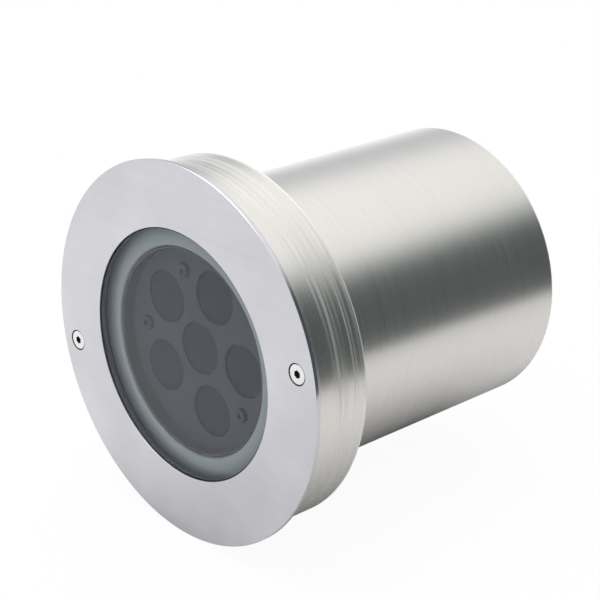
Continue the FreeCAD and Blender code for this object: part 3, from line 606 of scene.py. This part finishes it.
tube = as_object("tube_wall", [turned([
    (TUBE_OUT, COLLAR_DEPTH, 0), (TUBE_OUT, SLEEVE_BACK, 0.5), (TUBE_BORE, SLEEVE_BACK, 0.4),
    (TUBE_BORE, COLLAR_DEPTH, 0)])])
fitted(tube, "sleeve", "sleeve_tube", tube_steel)
collar = as_object("collar_wall", [turned([
    (COLLAR_BORE, 0, 0.2), (COLLAR_OUT, 0, 0.2), (COLLAR_OUT, COLLAR_DEPTH, 0.4),
    (TUBE_BORE, COLLAR_DEPTH, 0), (TUBE_BORE, SHOULDER_Y, 0.2), (COLLAR_BORE, SHOULDER_Y, 0.4)])])
fitted(collar, "sleeve", "sleeve_collar", collar_steel)

# %% [markdown]
# The face ring: a thick plate with its edges turned over, and two countersinks for the face screws.

# %% Face ring
RING_OUT, WINDOW = 80.0, 52.7
FACE_Y, RIM_Y = -3.0, -1.0
SCREW_PITCH = 70.6
SCREW_ANGLES = {"right": 12.2, "left": 192.2}
SINK_R, SINK_FLOOR_R = 4.55, 2.25
RELIEF_R = 76.5             # outside it the rim is 1 mm thinner
CLAMP_R, CLAMP_Y = 65.9, 2.0

ring = as_object("ring_plate", [turned([
    (WINDOW, FACE_Y, 0.2), (RING_OUT, FACE_Y, 0.4), (RING_OUT, RIM_Y, 0.4), (RELIEF_R, RIM_Y, 0),
    (RELIEF_R, 0, 0), (CLAMP_R, 0, 0), (CLAMP_R, CLAMP_Y, 0.3), (WINDOW, CLAMP_Y, 0.2)])])
cut(ring, [moved(turned([(0, FACE_Y - 0.5, 0), (SINK_R + 0.5, FACE_Y - 0.5, 0),
                         (SINK_FLOOR_R, FACE_Y + SINK_R - SINK_FLOOR_R, 0), (SINK_FLOOR_R, 0.5, 0),
                         (0, 0.5, 0)], 96), SCREW_PITCH, a) for a in SCREW_ANGLES.values()])
ring.data.materials.append(ring_satin)
# The countersink walls are painted shade.
repaint(ring, recess, lambda r, y, normal: abs(r - SCREW_PITCH) < SINK_R and y > FACE_Y + 0.1
        and 0.05 < abs(normal.y) < 0.95)
repaint(ring, ring_rim, lambda r, y, normal: r > RING_OUT - 0.35 and y > FACE_Y + 0.15)
fitted(ring, "lamp", "face_ring", ring_satin)

# %% [markdown]
# The front glass: a toughened disc with a step. The ring clamps its thinner rim, while its thick
# middle stands in the window, 0.7 mm behind the face. It is one profile, spun, with its ground side
# repainted.

# %% Front glass
GLASS_BOSS, GLASS_OUT = 52.25, 57.1
GLASS_FRONT, STEP_Y = -2.3, 3.0
GLASS_BACK = 5.66           # a hair off the seat, so that light gets in between
pane = as_object("glass_pane", [turned([
    (0, GLASS_FRONT, 0), (GLASS_BOSS, GLASS_FRONT, 0.5), (GLASS_BOSS, STEP_Y, 0),
    (GLASS_OUT, STEP_Y, 0.3), (GLASS_OUT, GLASS_BACK, 0.3), (0, GLASS_BACK, 0)])])
pane.data.materials.append(toughened)
repaint(pane, glass_edge, lambda r, y, normal: GLASS_BOSS - 0.5 < r < GLASS_BOSS + 0.1
        and abs(normal.y) < 0.97)
fitted(pane, "lamp", "front_glass", toughened)

# %% [markdown]
# The lens plate: a coated tray, pressed and then punched, with one opening in the middle and five
# round it. It is spun as a plain cup; grooves and openings are cut after that, and each opening has
# the small chamfer that the CAD leaves out.

# %% Lens plate
LENS_CIRCLE, FIRST_LENS_ANGLE, LENSES_ROUND = 26.4, -3, 5
LENS_PLACES = [(0, 0)] + [(LENS_CIRCLE, FIRST_LENS_ANGLE + 360 / LENSES_ROUND * i)
                          for i in range(LENSES_ROUND)]
PLATE_FRONT, PLATE_BACK, WALL_FRONT = 11.7, 13.7, 6.3
WALL_BORE, PLATE_R = 42.6, 43.8
APERTURE = 11.0
PLATE_SCREW_PITCH, PLATE_SCREW_ANGLES = 32.7, (105, 177, 321)
PAN_R, PAN_H = 2.8, 1.7
GROOVE = 0.4                # round each screw head, wide and deep
tray = as_object("lens_tray", [turned([
    (0, PLATE_FRONT, 0), (WALL_BORE, PLATE_FRONT, 0.6), (WALL_BORE, WALL_FRONT, 0.3),
    (PLATE_R, WALL_FRONT, 0.3), (PLATE_R, PLATE_BACK, 0.3), (0, PLATE_BACK, 0)])])
groove_top, groove_floor = 11.3, PLATE_FRONT + GROOVE
cut(tray, [moved(turned([(PAN_R, groove_top, 0), (PAN_R + GROOVE, groove_top, 0),
                         (PAN_R + GROOVE, groove_floor, 0), (PAN_R, groove_floor, 0)], 64),
                 PLATE_SCREW_PITCH, a) for a in PLATE_SCREW_ANGLES])
tray.data.materials.append(black_coat)
repaint(tray, shadow_black,
        lambda r, y, normal: r < 40 and PLATE_FRONT + 0.05 < y < groove_floor + 0.05)
cut(tray, [moved(turned([(0, 11.0, 0), (APERTURE + 1.0, 11.0, 0), (APERTURE, 12.0, 0),
                         (APERTURE, 14.5, 0), (0, 14.5, 0)], 96), r, a) for r, a in LENS_PLACES])
fitted(tray, "lamp", "lens_plate", black_coat)

# %% [markdown]
# The three small screws of the plate. A real one has a pan head with a pressed cross recess, and
# the same black coat as the plate. Here each head is turned with a round edge and two blades cut
# its cross, which is darker than the coat, so that it can still be seen from a distance.

# %% Plate screws
CROSS_SPAN, CROSS_WIDTH, CROSS_DEPTH = 3.0, 0.62, 0.9
CROSS_TURN = 20
PLATE_SHANK_R, PLATE_SCREW_TIP = 1.5, 17.7
PAN_TOP = PLATE_FRONT - PAN_H
heads = []
for angle in PLATE_SCREW_ANGLES:
    head = as_object("head", [turned([
        (0, PAN_TOP, 0), (PAN_R, PAN_TOP, 0.65), (PAN_R, PLATE_FRONT, 0),
        (PLATE_SHANK_R, PLATE_FRONT, 0), (PLATE_SHANK_R, PLATE_SCREW_TIP, 0.2),
        (0, PLATE_SCREW_TIP, 0)], 64)])
    for turn in (CROSS_TURN, CROSS_TURN + 90):
        blade = bmesh.new()
        bmesh.ops.create_cube(blade, size=MM)
        bmesh.ops.scale(blade, verts=blade.verts, vec=(CROSS_SPAN, 2 * CROSS_DEPTH, CROSS_WIDTH))
        bmesh.ops.rotate(blade, verts=blade.verts, cent=(0, 0, 0),
                         matrix=Matrix.Rotation(math.radians(turn), 3, "Y"))
        bmesh.ops.translate(blade, verts=blade.verts, vec=(0, PAN_TOP * MM, 0))
        cut(head, [blade])
    head.data.materials.append(black_coat)
    repaint(head, shadow_black, lambda r, y, normal: r < 1.7 and PAN_TOP + 0.03 < y < 11.0)
    bm = bmesh.new()
    bm.from_mesh(head.data)
    moved(bm, PLATE_SCREW_PITCH, angle)
    heads.append(bm)
    bpy.data.objects.remove(head)
screws = as_object("plate_screw_set", heads)
screws.data.materials.append(black_coat)
screws.data.materials.append(shadow_black)
fitted(screws, "lamp", "plate_screws", black_coat)

# %% [markdown]
# The face screws. A real one is cold-headed from wire and its thread is rolled, so the ridge of the
# thread is one long piece that goes round and along the shank at 0.7 mm a turn.

# %% Face screws
HEAD_Y, HEAD_R, SHANK_R, TIP_Y = -2.8, 4.0, 2.0, 9.2
CORE_R, PITCH, THREAD_FROM, TURNS = 1.62, 0.7, 2.4, 9
HEAD_LAND = 0.3             # the straight rim of the head, before its cone
SOCKET_DEPTH, SOCKET_R = 1.3, 1.5 / math.cos(math.pi / 6)


def thread(core, crest, pitch, front, turns, steps=32):
    """The ridge of a thread about Y, with a flat crest and closed ends."""
    bm = bmesh.new()
    root = core - 0.12          # a little inside the shank, so that no gap shows
    section = [(root, -0.44), (crest, -0.08), (crest, 0.08), (root, 0.44)]
    bm.faces.new([bm.verts.new((r * MM, (front + y * pitch) * MM, 0)) for r, y in section])
    bmesh.ops.spin(bm, geom=bm.verts[:] + bm.edges[:] + bm.faces[:], cent=(0, 0, 0),
                   axis=(0, 1, 0), dvec=(0, pitch / steps * MM, 0), angle=2 * math.pi * turns,
                   steps=steps * turns, use_merge=False, use_duplicate=False)
    bmesh.ops.recalc_face_normals(bm, faces=bm.faces)
    return bm


for side, angle in SCREW_ANGLES.items():
    blank = as_object("blank", [turned([
        (0, HEAD_Y, 0), (HEAD_R, HEAD_Y, 0.12), (HEAD_R, HEAD_Y + HEAD_LAND, 0),
        (SHANK_R, HEAD_Y + HEAD_LAND + HEAD_R - SHANK_R, 0), (SHANK_R, THREAD_FROM - 0.8, 0),
        (CORE_R, THREAD_FROM - 0.4, 0), (CORE_R, TIP_Y, 0.3), (0, TIP_Y, 0)], 96)])
    cut(blank, [prism(6, SOCKET_R, HEAD_Y - 0.5, HEAD_Y + SOCKET_DEPTH)])
    blank.data.materials.append(screw_steel)
    # The socket and the rim of the head are painted shade.
    repaint(blank, recess, lambda r, y, normal: HEAD_Y + 0.05 < y < HEAD_Y + 1.5 and (
        r < SOCKET_R or (r > HEAD_R - 0.1 and abs(normal.y) < 0.5)))
    bm = bmesh.new()
    bm.from_mesh(blank.data)
    bpy.data.objects.remove(blank)
    ridge = thread(CORE_R, SHANK_R - 0.02, PITCH, THREAD_FROM, TURNS)
    screw = as_object("screw_" + side, [moved(part, SCREW_PITCH, angle) for part in (bm, ridge)])
    screw.data.materials.append(screw_steel)
    screw.data.materials.append(recess)
    fitted(screw, side + "_screw", "face_screw_" + side, screw_steel)
